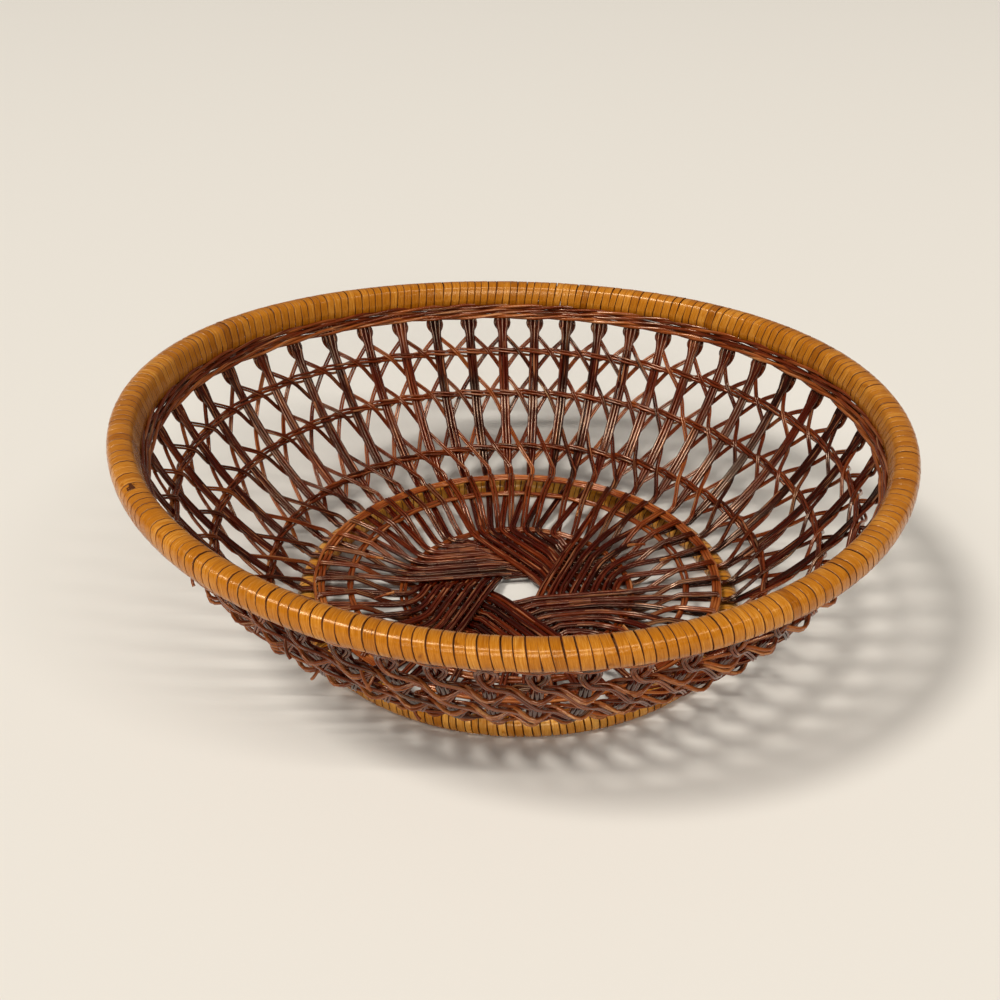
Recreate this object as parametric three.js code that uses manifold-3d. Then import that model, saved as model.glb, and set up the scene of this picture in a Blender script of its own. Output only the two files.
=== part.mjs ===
// A round open-work rattan bowl. Forty-eight flat stakes start in a six-armed whirl round
// a small six-sided hole, cross a bound foot ring and rise to a bound rim. One lacing strand
// zigzags up and down behind the stakes and loops round every stake head under the rim.
// Millimetres, Z up, table at Z = 0, the viewer's side toward -Y.
import * as THREE from "three";
import Module from "manifold-3d";

// Rim and foot: a hoop bound with one strip of cane
const rimRadius = 160; // to the hoop's centre line
const rimHeight = 88; // hoop centre line above the table
const rimHoopDiameter = 8.2;
const rimTurns = 60;
const footRadius = 95; // to the hoop's centre line
const footHoopDiameter = 6;
const footTurns = 36;
const stepsPerTurn = 8;
const caneThickness = 1.2;
const caneGap = 0.5; // between neighbouring turns
const footFlat = 0.5; // depth of the flat worn under the foot
const rimRise = 3.8; // the rim is lifted this much at both sides, lowered at front and back
const rimRiseTurn = 6; // degrees from the X axis to the highest part of the rim
const rimLean = 3.7; // the rim stands this much higher on one side, lower on the other
const rimLeanTurn = 154; // degrees from the X axis to the high side
const rimOval = 3; // the rim is drawn out this much at both sides, in at front and back
const rimOvalTurn = 10; // degrees from the X axis to the widest part of the rim
const footDrift = new THREE.Vector2(2.2, -3.8); // middle of the foot from the rim's middle

// Stakes: flat bundles that start in the base
const groups = 6;
const stakesPerGroup = 8;
const stakeThickness = 1.8;
const stakeWidth = 4.4; // on the wall
const baseWidth = 3.4; // in the base
const baseGap = 1; // between neighbours in one group
const holeApothem = 9.6; // hole centre to the middle of a side
const whirlHeight = 6; // middle of the upper layer above the table
const whirlTurn = 9.8; // degrees from the X axis to the first group's heading, past the half turn
const tuckPast = 1; // how far each inner end reaches past the neighbour that covers it
const rampLength = 4; // from under the neighbour to the upper layer
const bendReach = 7; // a stake's bend starts this far before the edge of the whirl
const firstFan = 12; // degrees from a group's heading to its first stake on the foot ring
const crowding = 3.7; // degrees that the stakes are drawn toward two opposite places
const crowdingTurn = 78; // degrees from the X axis to the first of those places
const wallFootSlope = 33; // degrees from level where the wall leaves the foot
const wallTopSlope = 70; // degrees from level under the rim
const seatTurn = -130; // degrees from outward to where the stakes meet the rim, seen along it

// Rings, lacing and the twined band under the rim
const ringHeights = [60, 41, 20]; // wall rings above the table
const ringThickness = 1.6;
const baseRingRadii = [76, 52]; // the outer one lies on the stakes, the inner one under them
const baseRingWidth = 3.4; // two strands side by side
const jointRingWidth = 4.8; // three strands side by side
const laceThickness = 1.6;
const laceGap = 0.5; // between the two layers of lacing
const headHeight = 70; // where the two legs cross behind a stake head
const laceFootRise = 3.4; // where the legs end, above the stakes on the foot ring
const loopDrop = 3; // loop top below the upper end of its stake
const bandRow = 1.8; // height of one of the three rows of the twined band
const bandDrop = 3.4; // middle of the band below the upper end of the stakes
const clearance = 0.3; // between pieces that touch

// Colours read from the photograph
const honeyCane = { color: 0xc08a35, roughness: 0.42, metalness: 0 };
const darkStrand = { color: 0x4a2416, roughness: 0.38, metalness: 0 };
const redStrand = { color: 0x6b3219, roughness: 0.4, metalness: 0 };
const hoopWood = { color: 0x9a6a35, roughness: 0.7, metalness: 0 };

const tau = 2 * Math.PI;
const radians = THREE.MathUtils.degToRad;
const stakes = groups * stakesPerGroup;
const stakeStep = tau / stakes;
const kernel = await Module();
kernel.setup();

// Joins rings of corner points into a closed skin, with flat ends or run round into itself
function loft(rings, closed = false) {
  const sides = rings[0].length;
  const faces = [];
  const spans = closed ? rings.length : rings.length - 1;
  for (let i = 0; i < spans; i += 1) {
    const near = i * sides;
    const far = ((i + 1) % rings.length) * sides;
    for (let j = 0; j < sides; j += 1) {
      const next = (j + 1) % sides;
      faces.push(near + j, near + next, far + next);
      faces.push(near + j, far + next, far + j);
    }
  }
  const last = (rings.length - 1) * sides;
  for (let j = 1; j < sides - 1 && !closed; j += 1) {
    faces.push(0, j + 1, j);
    faces.push(last, last + j, last + j + 1);
  }
  const geometry = new THREE.BufferGeometry().setFromPoints(rings.flat());
  return geometry.setIndex(faces);
}

// Sweeps a section along stations { at, up, section }, the section given as [side, up] corners
function sweep(stations, closed = false) {
  const count = stations.length;
  const rings = stations.map((station, i) => {
    const before = closed ? (i + count - 1) % count : Math.max(i - 1, 0);
    const after = closed ? (i + 1) % count : Math.min(i + 1, count - 1);
    const along = stations[after].at.clone().sub(stations[before].at).normalize();
    const side = station.up.clone().cross(along).normalize();
    const up = along.clone().cross(side);
    return station.section.map(([x, y]) =>
      station.at.clone().addScaledVector(side, x).addScaledVector(up, y));
  });
  return loft(rings, closed);
}

function flatSection(width, thickness) {
  const x = width / 2;
  const y = thickness / 2;
  return [[-x, -y], [x, -y], [x, y], [-x, y]];
}

// Binding: a crowned strip wound round a hoop. The inner corners stand off enough for the
// flats between steps, and the bow of the hoop under one turn, to clear the hoop.
function bindingInside(ringRadius, hoopDiameter, turns) {
  const halfTurn = (Math.PI / turns) * (1 + 1 / stepsPerTurn);
  const bow = ringRadius * (1 - Math.cos(halfTurn));
  return (hoopDiameter / 2 + clearance) / Math.cos(Math.PI / stepsPerTurn) + bow;
}

function tubePoint(ringRadius, height, along, around, distance) {
  const reach = ringRadius + distance * Math.cos(around);
  const rise = height + distance * Math.sin(around);
  return new THREE.Vector3(reach * Math.cos(along), reach * Math.sin(along), rise);
}

function binding(name, ringRadius, height, inside, turns) {
  const halfWidth = (tau / turns - caneGap / (ringRadius - inside)) / 2;
  const endGap = caneGap / inside;
  const startAngle = -Math.PI / 2 + Math.PI / stepsPerTurn;
  const steps = turns * stepsPerTurn;
  const rings = [];
  for (let i = 0; i <= steps; i += 1) {
    const along = (i / steps) * tau;
    const around = startAngle + (i / steps) * (tau * turns - endGap);
    const place = (shift, distance) => tubePoint(ringRadius, height, along + shift, around, distance);
    rings.push([
      place(halfWidth, inside),
      place(-halfWidth, inside),
      place(0, inside + caneThickness),
    ]);
  }
  let least = rings[0][2].distanceTo(rings[steps][2]);
  for (let i = 0; i + stepsPerTurn <= steps; i += 1) {
    least = Math.min(least, rings[i][0].distanceTo(rings[i + stepsPerTurn][1]));
  }
  console.log(name, "least gap to itself", least.toFixed(2), "mm");
  return loft(rings);
}

// A hoop of round section turned about the Z axis
function hoop(ringRadius, height, diameter, segments) {
  const corners = 8;
  const profile = [];
  for (let i = 0; i <= corners; i += 1) {
    const angle = ((i + 0.5) / corners) * tau;
    const reach = ringRadius + (diameter / 2) * Math.cos(angle);
    profile.push(new THREE.Vector2(reach, height + (diameter / 2) * Math.sin(angle)));
  }
  return new THREE.LatheGeometry(profile, segments).rotateX(Math.PI / 2);
}

// Heights that follow from the bindings
const flatOfTurn = Math.cos(Math.PI / stepsPerTurn);
const rimInside = bindingInside(rimRadius, rimHoopDiameter, rimTurns);
const rimOutside = rimInside + caneThickness;
const footInside = bindingInside(footRadius, footHoopDiameter, footTurns);
const footOutside = footInside + caneThickness;
const footHeight = footOutside * flatOfTurn - footFlat;
const footTop = footHeight + footOutside;
const edgeHeight = footTop + clearance + stakeThickness / 2;
const edgeRadius = footRadius - footOutside;

// Wall: one curve from the foot to the rim's underside, in radius and height
const wallFoot = new THREE.Vector2(footRadius + footOutside / 2, edgeHeight);
const seatAngle = radians(seatTurn);
const endLean = Math.abs(Math.cos(seatAngle - radians(wallTopSlope - 90)));
const seatReach = rimOutside + clearance + (stakeThickness / 2) * endLean;
const wallTop = new THREE.Vector2(
  rimRadius + seatReach * Math.cos(seatAngle),
  rimHeight + seatReach * Math.sin(seatAngle),
);
const footWay = new THREE.Vector2(Math.cos(radians(wallFootSlope)), Math.sin(radians(wallFootSlope)));
const topWay = new THREE.Vector2(Math.cos(radians(wallTopSlope)), Math.sin(radians(wallTopSlope)));
const chord = wallTop.clone().sub(wallFoot);
const wallBelly = wallFoot.clone().addScaledVector(footWay, chord.cross(topWay) / footWay.cross(topWay));
const wall = new THREE.QuadraticBezierCurve(wallFoot, wallBelly, wallTop);

// Share of the wall curve at a height
function shareAt(height) {
  let low = 0;
  let high = 1;
  for (let i = 0; i < 40; i += 1) {
    const middle = (low + high) / 2;
    if (wall.getPoint(middle).y < height) {
      low = middle;
    } else {
      high = middle;
    }
  }
  return (low + high) / 2;
}

// Share of the wall curve at a distance below its upper end
function shareBelowTop(distance) {
  return shareAt(wallTop.y - distance * topWay.y);
}

// Azimuth of a place counted in stakes, and the wall there with its outward direction
function azimuth(place) {
  const even = Math.PI + radians(whirlTurn - firstFan) - place * stakeStep;
  return even - radians(crowding) * Math.sin(2 * (even - radians(crowdingTurn)));
}

function outwardAt(place, share) {
  const tangent = wall.getTangent(share);
  const angle = azimuth(place);
  return new THREE.Vector3(tangent.y * Math.cos(angle), tangent.y * Math.sin(angle), -tangent.x);
}

function wallPoint(place, share, outward) {
  const spot = wall.getPoint(share);
  const angle = azimuth(place);
  const point = new THREE.Vector3(spot.x * Math.cos(angle), spot.x * Math.sin(angle), spot.y);
  return point.addScaledVector(outwardAt(place, share), outward);
}

// Whirl: straight strands side by side in each group. A strand comes up from under the next
// group's first strand, and bends at the edge of the whirl, which leaves room for the last one.
function groupOffset(member) {
  return holeApothem + baseWidth / 2 + member * (baseWidth + baseGap);
}

function crossingAt(member) {
  return (groupOffset(member) - 2 * groupOffset(0)) / Math.sqrt(3);
}

const coverReach = (baseWidth * Math.sqrt(3)) / 2 + clearance;
const lastMember = stakesPerGroup - 1;
const whirlRadius = Math.hypot(
  groupOffset(lastMember),
  crossingAt(lastMember) + coverReach + rampLength + bendReach,
);

// Base: level in the whirl, then an even rise to the foot ring
function baseHeight(radius) {
  const share = (radius - whirlRadius) / (edgeRadius - whirlRadius);
  return whirlHeight + (edgeHeight - whirlHeight) * THREE.MathUtils.clamp(share, 0, 1);
}

// One stake: its inner end lies under the next group, then it passes the hole, bends out
// to its own place on the foot ring and climbs the wall
function stake(group, member) {
  const number = group * stakesPerGroup + member;
  const lowHeight = whirlHeight - stakeThickness - clearance;
  const endAt = crossingAt(member) - coverReach - tuckPast;
  const lowUntil = crossingAt(member) + coverReach;

  const heading = Math.PI + radians(whirlTurn) - (group * tau) / groups;
  const forward = new THREE.Vector3(Math.cos(heading), Math.sin(heading), 0);
  const right = new THREE.Vector3(Math.sin(heading), -Math.cos(heading), 0);
  const place = (x, y, z) =>
    new THREE.Vector3(0, 0, z).addScaledVector(right, x).addScaledVector(forward, y);
  const x = groupOffset(member);
  const fan = heading - azimuth(number);
  const turnAt = Math.sqrt(whirlRadius ** 2 - x ** 2);
  const bendFrom = turnAt - bendReach;
  const highFrom = member === 0 ? -lowUntil : lowUntil + rampLength;
  const bend = new THREE.QuadraticBezierCurve(
    new THREE.Vector2(x, bendFrom),
    new THREE.Vector2(x, turnAt),
    new THREE.Vector2(edgeRadius * Math.sin(fan), edgeRadius * Math.cos(fan)),
  );

  const up = new THREE.Vector3(0, 0, 1);
  const narrow = flatSection(baseWidth, stakeThickness);
  const wide = flatSection(stakeWidth, stakeThickness);
  const stations = [
    { at: place(x, endAt, lowHeight), up, section: narrow },
    { at: place(x, lowUntil, lowHeight), up, section: narrow },
    { at: place(x, highFrom, whirlHeight), up, section: narrow },
  ];
  for (const share of [0, 0.2, 0.4, 0.7, 1]) {
    const spot = bend.getPoint(share);
    stations.push({ at: place(spot.x, spot.y, baseHeight(spot.length())), up, section: narrow });
  }
  for (const share of [0, 0.15, 0.32, 0.5, 0.67, 0.84, 1]) {
    stations.push({
      at: wallPoint(number, share, 0),
      up: outwardAt(number, share).negate(),
      section: wide,
    });
  }
  return sweep(stations);
}

// A ring of strands laid round at one place in radius and height, cornered at the stakes
function ring(radius, height, lean, section) {
  const stations = [];
  for (let i = 0; i < stakes; i += 1) {
    const angle = azimuth(i);
    const out = new THREE.Vector3(Math.cos(angle), Math.sin(angle), 0);
    const at = out.clone().multiplyScalar(radius).setZ(height);
    const up = out.clone().multiplyScalar(-Math.sin(lean)).setZ(Math.cos(lean));
    stations.push({ at, up, section });
  }
  return sweep(stations, true);
}

function wallRing(share, inward, section) {
  const spot = wall.getPoint(share);
  const tangent = wall.getTangent(share);
  const lean = Math.atan2(tangent.y, tangent.x);
  return ring(spot.x - inward * tangent.y, spot.y + inward * tangent.x, lean, section);
}

// A flat ring in the base, laid on the stakes or under them
function baseRing(radius, width, under = false) {
  const side = under ? -1 : 1;
  const seat = baseHeight(radius + (side * width) / 2) + side * (stakeThickness / 2 + clearance);
  return ring(radius, seat + (side * ringThickness) / 2, 0, flatSection(width, ringThickness));
}

// Lacing: a leg crosses one stake space at each wall ring and passes behind the stakes
// halfway between the rings, from a stake head down to the foot
const laceSpan = ringHeights.length;
const legHeights = [headHeight];
for (let i = 1; i < laceSpan; i += 1) {
  legHeights.push((ringHeights[i - 1] + ringHeights[i]) / 2);
}
legHeights.push(edgeHeight + laceFootRise);
const legShares = legHeights.map(shareAt);

// How far a straight leg dips inward beside a stake, from one stake to the next
function legDip() {
  let deepest = 0;
  for (let head = 0; head < stakes; head += 1) {
    for (let i = 0; i < laceSpan; i += 1) {
      for (const [from, to] of [[i, i + 1], [i + 1, i]]) {
        const start = wallPoint(head + from, legShares[from], 0);
        const way = wallPoint(head + to, legShares[to], 0).sub(start).normalize();
        const outward = outwardAt(head + from, legShares[from]);
        const level = new THREE.Vector3(0, 0, 1).cross(outward).normalize();
        const run = (stakeWidth / 2 + laceThickness) / Math.abs(way.dot(level));
        deepest = Math.max(deepest, -way.dot(outward) * run);
      }
    }
  }
  return deepest;
}

// The lacing is one strand: up a leg in the inner layer, round a stake head, down a leg in
// the outer layer, then along the foot by one stake to the next leg, until every head is laced
function lacing() {
  const innerLayer = stakeThickness / 2 + clearance + legDip() + laceThickness / 2;
  const outerLayer = innerLayer + laceThickness + laceGap;
  const half = laceThickness / 2;
  const section = [[-half, -0.75 * half], [half, -0.75 * half], [0, half]];
  const bow = (stakeWidth / 2 + laceThickness) / (wall.getPoint(legShares[0]).x * stakeStep);
  const topShare = shareBelowTop(loopDrop);
  const bowShare = (legShares[0] + topShare) / 2;
  const stations = [];
  const add = (place, share, layer) => stations.push({
    at: wallPoint(place, share, layer),
    up: outwardAt(place, share),
    section,
  });
  let head = 0;
  for (let count = 0; count < stakes; count += 1) {
    for (let i = laceSpan; i >= 0; i -= 1) {
      add(head + i, legShares[i], innerLayer);
    }
    add(head - bow, bowShare, innerLayer);
    add(head - bow / 2, topShare, innerLayer);
    add(head + bow / 2, topShare, outerLayer);
    add(head + bow, bowShare, outerLayer);
    for (let i = 0; i <= laceSpan; i += 1) {
      add(head - i, legShares[i], outerLayer);
    }
    head -= 2 * laceSpan + 1;
  }
  return sweep(stations);
}

// The twined band: three rows of strands, grooved on the side that shows
function twinedBand() {
  const half = stakeThickness / 2;
  const groove = half / 3;
  const section = [
    [-1.5 * bandRow, -half],
    [1.5 * bandRow, -half],
    [1.5 * bandRow, groove],
    [bandRow, half],
    [0.5 * bandRow, groove],
    [0, half],
    [-0.5 * bandRow, groove],
    [-bandRow, half],
    [-1.5 * bandRow, groove],
  ];
  return wallRing(shareBelowTop(bandDrop), stakeThickness + clearance, section);
}

// The flat under the foot, cut by the table's own plane
function standFlat(geometry) {
  const size = 3 * rimRadius;
  const table = new THREE.BoxGeometry(size, size, size).translate(0, 0, -size / 2);
  const solids = [geometry, table].map((shape) => {
    const mesh = new kernel.Mesh({
      numProp: 3,
      vertProperties: new Float32Array(shape.getAttribute("position").array),
      triVerts: new Uint32Array(shape.index.array),
    });
    mesh.merge();
    return new kernel.Manifold(mesh);
  });
  const cut = solids[0].subtract(solids[1]).getMesh();
  const result = new THREE.BufferGeometry();
  result.setAttribute("position", new THREE.BufferAttribute(new Float32Array(cut.vertProperties), 3));
  return result.setIndex(new THREE.BufferAttribute(new Uint32Array(cut.triVerts), 1));
}

// Hand-made shape: the rim isn't quite round or level, and the foot isn't quite under its middle
function settle(geometry) {
  const place = geometry.getAttribute("position");
  const spot = new THREE.Vector3();
  for (let i = 0; i < place.count; i += 1) {
    spot.fromBufferAttribute(place, i);
    const angle = Math.atan2(spot.y, spot.x);
    const share = Math.max((spot.z - edgeHeight) / (rimHeight - edgeHeight), 0);
    const rise = rimRise * Math.cos(2 * (angle - radians(rimRiseTurn)));
    const lean = rimLean * Math.cos(angle - radians(rimLeanTurn));
    const oval = (rimOval / rimRadius) * Math.cos(2 * (angle - radians(rimOvalTurn)));
    const stretch = 1 + oval * share;
    place.setXYZ(
      i,
      spot.x * stretch + footDrift.x * (1 - share),
      spot.y * stretch + footDrift.y * (1 - share),
      spot.z + (rise + lean) * share,
    );
  }
  return geometry;
}

const bowl = new THREE.Group();
bowl.name = "rattan_bowl";

function addPiece(name, geometry, finish) {
  const mesh = new THREE.Mesh(settle(geometry), new THREE.MeshStandardMaterial(finish));
  mesh.name = name;
  bowl.add(mesh);
}

for (let group = 0; group < groups; group += 1) {
  for (let member = 0; member < stakesPerGroup; member += 1) {
    const number = group * stakesPerGroup + member + 1;
    addPiece(`stake_${String(number).padStart(2, "0")}`, stake(group, member), darkStrand);
  }
}
addPiece("wall_lacing", lacing(), redStrand);
ringHeights.forEach((height, i) => {
  const inward = stakeThickness / 2 + clearance + ringThickness / 2;
  const section = flatSection(ringThickness, ringThickness);
  addPiece(`wall_ring_${i + 1}`, wallRing(shareAt(height), inward, section), redStrand);
});
addPiece("twined_band", twinedBand(), redStrand);
addPiece("joint_ring", baseRing(edgeRadius, jointRingWidth), darkStrand);
baseRingRadii.forEach((radius, i) => {
  addPiece(`base_ring_${i + 1}`, baseRing(radius, baseRingWidth, i > 0), redStrand);
});
addPiece("rim_hoop", hoop(rimRadius, rimHeight, rimHoopDiameter, rimTurns), hoopWood);
addPiece("rim_wrap", binding("rim_wrap", rimRadius, rimHeight, rimInside, rimTurns), honeyCane);
addPiece("foot_hoop", hoop(footRadius, footHeight, footHoopDiameter, footTurns), hoopWood);
const footBinding = binding("foot_wrap", footRadius, footHeight, footInside, footTurns);
addPiece("foot_wrap", standFlat(footBinding), honeyCane);

export default bowl;
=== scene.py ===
import math
import random

import bmesh
import bpy
from mathutils import Matrix, Vector


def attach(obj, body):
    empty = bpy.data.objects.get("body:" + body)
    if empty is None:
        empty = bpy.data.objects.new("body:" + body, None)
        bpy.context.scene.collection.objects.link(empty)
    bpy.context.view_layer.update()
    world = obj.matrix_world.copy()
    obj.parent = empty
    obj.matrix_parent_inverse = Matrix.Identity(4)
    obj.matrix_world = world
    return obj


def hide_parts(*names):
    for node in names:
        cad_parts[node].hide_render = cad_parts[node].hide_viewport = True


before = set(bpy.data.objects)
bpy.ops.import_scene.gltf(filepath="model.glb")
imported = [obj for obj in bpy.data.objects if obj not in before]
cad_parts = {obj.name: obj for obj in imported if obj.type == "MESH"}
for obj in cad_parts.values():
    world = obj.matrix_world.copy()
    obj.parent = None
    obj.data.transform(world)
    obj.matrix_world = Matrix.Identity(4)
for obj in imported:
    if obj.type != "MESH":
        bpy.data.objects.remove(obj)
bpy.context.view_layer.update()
chance = random.Random(48)
mm = 0.001
tau = 2 * math.pi

# Shared sizes in millimetres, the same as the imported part's
bowl = {
    "rimRadius": 160.0,
    "rimHeight": 88.0,
    "rimRise": 3.8,  # hand-made shape of the rim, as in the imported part
    "riseTurn": math.radians(6),
    "rimLean": 3.7,
    "leanTurn": math.radians(154),
    "rimOval": 3.0,
    "ovalTurn": math.radians(10),
    "footDrift": Vector((2.2, -3.8)),
    "footRadius": 95.0,
    "footHeight": 4.331,
    "edgeRadius": 89.77,
    "edgeHeight": 10.761,
    "wallFoot": Vector((97.615, 10.761)),
    "wallTop": Vector((155.598, 82.754)),
    "footSlope": math.radians(33),
    "topSlope": math.radians(70),
    "ringHeights": (60.0, 41.0, 20.0),
    "groups": 6,
    "perGroup": 8,
    "whirlTurn": math.radians(9.8),
    "firstFan": math.radians(12),
    "crowding": math.radians(3.7),  # stakes are drawn toward two opposite places
    "crowdTurn": math.radians(78),
    "firstOffset": 11.3,  # hole centre to the first strand pair of a group
    "pairPitch": 4.4,
    "whirlRadius": 49.22,
    "whirlHeight": 6.0,
    "lowHeight": 3.9,
    "lowestHeight": 2.2,
    "coverReach": 3.244,  # a pair stays covered this far past the crossing
}
stakeCount = bowl["groups"] * bowl["perGroup"]
stakeStep = tau / stakeCount


def wayAt(angle):
    return Vector((math.cos(angle), math.sin(angle)))


def roundPoint(angle, reach, height):
    return Vector((reach * math.cos(angle), reach * math.sin(angle), height))


def cross2(a, b):
    return a.x * b.y - a.y * b.x


footWay, topWay = wayAt(bowl["footSlope"]), wayAt(bowl["topSlope"])
wallChord = bowl["wallTop"] - bowl["wallFoot"]
wallBelly = bowl["wallFoot"] + footWay * (cross2(wallChord, topWay) / cross2(footWay, topWay))


# Wall curve: radius and height, and the direction up the wall
def wallAt(share):
    rest = 1 - share
    foot, top = bowl["wallFoot"], bowl["wallTop"]
    spot = rest * rest * foot + 2 * rest * share * wallBelly + share * share * top
    return spot, (rest * (wallBelly - foot) + share * (top - wallBelly)).normalized()


# Share of the wall at a height, found by halving
def shareAt(height):
    low, high = 0.0, 1.1
    for _ in range(40):
        middle = (low + high) / 2
        if wallAt(middle)[0].y < height:
            low = middle
        else:
            high = middle
    return (low + high) / 2


def azimuth(place):
    even = math.pi + bowl["whirlTurn"] - bowl["firstFan"] - place * stakeStep
    return even - bowl["crowding"] * math.sin(2 * (even - bowl["crowdTurn"]))


# Millimetres between stakes at a place and radius
def spacing(place, radius):
    return (azimuth(place - 0.5) - azimuth(place + 0.5)) * radius


# Point of the wall at a place counted in stakes, a share of the wall and a distance outward
def wallPoint(place, share, outward):
    spot, way = wallAt(share)
    return roundPoint(azimuth(place), spot.x + outward * way.y, spot.y - outward * way.x)


# Direction straight out of the wall
def wallNormal(place, share):
    way = wallAt(share)[1]
    return (wayAt(azimuth(place)) * way.y).to_3d() - Vector((0, 0, way.x))


def baseHeight(radius):
    share = (radius - bowl["whirlRadius"]) / (bowl["edgeRadius"] - bowl["whirlRadius"])
    return bowl["whirlHeight"] + (bowl["edgeHeight"] - bowl["whirlHeight"]) * min(max(share, 0), 1)


# Hand-made shape: the rim isn't quite round or level, and the foot isn't quite under its middle
def settled(point):
    share = max((point.z - bowl["edgeHeight"]) / (bowl["rimHeight"] - bowl["edgeHeight"]), 0)
    angle = math.atan2(point.y, point.x)
    rise = bowl["rimRise"] * math.cos(2 * (angle - bowl["riseTurn"]))
    lean = bowl["rimLean"] * math.cos(angle - bowl["leanTurn"])
    oval = bowl["rimOval"] / bowl["rimRadius"] * math.cos(2 * (angle - bowl["ovalTurn"]))
    stretch = 1 + oval * share
    drift = bowl["footDrift"] * (1 - share)
    x, y = point.x * stretch + drift.x, point.y * stretch + drift.y
    return Vector((x, y, point.z + (rise + lean) * share))


def ease(value, start, end):
    share = min(max((value - start) / (end - start), 0), 1)
    return share * share * (3 - 2 * share)


# Smooth run through rows of numbers; the first and last rows only guide it
def flow(keys, steps):
    rows = []
    for a, b, c, d in zip(keys, keys[1:], keys[2:], keys[3:]):
        for i in range(steps):
            t = i / steps
            rows.append([
                0.5 * (2 * q + (r - p) * t + (2 * p - 5 * q + 4 * r - s) * t * t
                       + (3 * q - p - 3 * r + s) * t * t * t)
                for p, q, r, s in zip(a, b, c, d)
            ])
    return rows


# Materials
def tint(red, green, blue):
    return tuple((value / 255) ** 2.2 for value in (red, green, blue)) + (1.0,)


def addNode(tree, kind, **values):
    node = tree.nodes.new(kind)
    for key, value in values.items():
        if hasattr(node, key):
            setattr(node, key, value)
        else:
            node.inputs[key.replace("_", " ")].default_value = value
    return node


# Smooth step between two limits
def addStep(tree, source, limits):
    node = addNode(tree, "ShaderNodeMapRange", interpolation_type="SMOOTHSTEP",
                   From_Min=limits[0], From_Max=limits[1])
    tree.links.new(source, node.inputs["Value"])
    return node


# A colour mixed with a fixed one; the last sockets of the node are its colours
def addMix(tree, share, first, second):
    node = addNode(tree, "ShaderNodeMix", data_type="RGBA")
    tree.links.new(share, node.inputs[0])
    tree.links.new(first, node.inputs[6])
    node.inputs[7].default_value = tint(*second)
    return node.outputs[2]


# A value times a number, plus another value where one is given
def addProduct(tree, source, number, added=None):
    kind = "MULTIPLY" if added is None else "MULTIPLY_ADD"
    node = addNode(tree, "ShaderNodeMath", operation=kind)
    tree.links.new(source, node.inputs[0])
    node.inputs[1].default_value = number
    if added is not None:
        tree.links.new(added, node.inputs[2])
    return node.outputs[0]


fibre = {
    "toneShift": 57.0,  # moves the pattern from strand to strand
    "lineRoughness": 0.65,
    "streakScale": 0.8,
    "streakRoughness": 0.55,
    "streakLimits": (0.57, 0.7),
    "patchScale": 55.0,
    "edgeLimits": (0.43, 0.48),  # shares of a strip's width, from its middle
    "fleckScale": 210.0,
    "fleckLimits": (0.66, 0.76),
    "bumpDepth": 0.0004,
}


# Fine lines along a strand or strip: across and along come from its own UV map
def fibreGroup():
    tree = bpy.data.node_groups.new("fibre_lines", "ShaderNodeTree")
    for name in ("Across", "Along", "Tone"):
        tree.interface.new_socket(name, in_out="INPUT", socket_type="NodeSocketFloat")
    for name in ("Line", "Patch", "Edge", "Fleck", "Streak"):
        tree.interface.new_socket(name, in_out="OUTPUT", socket_type="NodeSocketFloat")
    start, end = addNode(tree, "NodeGroupInput"), addNode(tree, "NodeGroupOutput")
    coords = addNode(tree, "ShaderNodeUVMap")
    split = addNode(tree, "ShaderNodeSeparateXYZ")
    tree.links.new(coords.outputs["UV"], split.inputs[0])
    join = addNode(tree, "ShaderNodeCombineXYZ")
    for axis, name in enumerate(("Across", "Along")):
        scale = addNode(tree, "ShaderNodeMath", operation="MULTIPLY")
        tree.links.new(split.outputs[axis], scale.inputs[0])
        tree.links.new(start.outputs[name], scale.inputs[1])
        tree.links.new(scale.outputs[0], join.inputs[axis])
    shift = addProduct(tree, start.outputs["Tone"], fibre["toneShift"])
    tree.links.new(shift, join.inputs[2])
    lines = addNode(tree, "ShaderNodeTexNoise", Scale=1.0, Detail=3.0,
                    Roughness=fibre["lineRoughness"])
    tree.links.new(join.outputs[0], lines.inputs["Vector"])
    tree.links.new(lines.outputs["Fac"], end.inputs["Line"])
    # Pale streaks along the strand, mixed into its colour: partly wear, partly a painted highlight
    # in place of glints
    wearAndGlint = addNode(tree, "ShaderNodeTexNoise", Scale=fibre["streakScale"], Detail=2.0,
                   Roughness=fibre["streakRoughness"])
    tree.links.new(join.outputs[0], wearAndGlint.inputs["Vector"])
    streak = addStep(tree, wearAndGlint.outputs["Fac"], fibre["streakLimits"])
    tree.links.new(streak.outputs["Result"], end.inputs["Streak"])
    place = addNode(tree, "ShaderNodeTexCoord")
    patch = addNode(tree, "ShaderNodeTexNoise", Scale=fibre["patchScale"], Detail=2.0)
    tree.links.new(place.outputs["Object"], patch.inputs["Vector"])
    tree.links.new(patch.outputs["Fac"], end.inputs["Patch"])
    # Edge: the sides of a strip; the cane darkens them as painted shade in the joins between its
    # turns
    side = addNode(tree, "ShaderNodeMath", operation="ABSOLUTE")
    tree.links.new(split.outputs[0], side.inputs[0])
    edge = addStep(tree, side.outputs[0], fibre["edgeLimits"])
    tree.links.new(edge.outputs["Result"], end.inputs["Edge"])
    spots = addNode(tree, "ShaderNodeTexNoise", Scale=fibre["fleckScale"], Detail=3.0)
    tree.links.new(place.outputs["Object"], spots.inputs["Vector"])
    fleck = addStep(tree, spots.outputs["Fac"], fibre["fleckLimits"])
    tree.links.new(fleck.outputs["Result"], end.inputs["Fleck"])
    return tree


fibreLines = fibreGroup()


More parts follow.
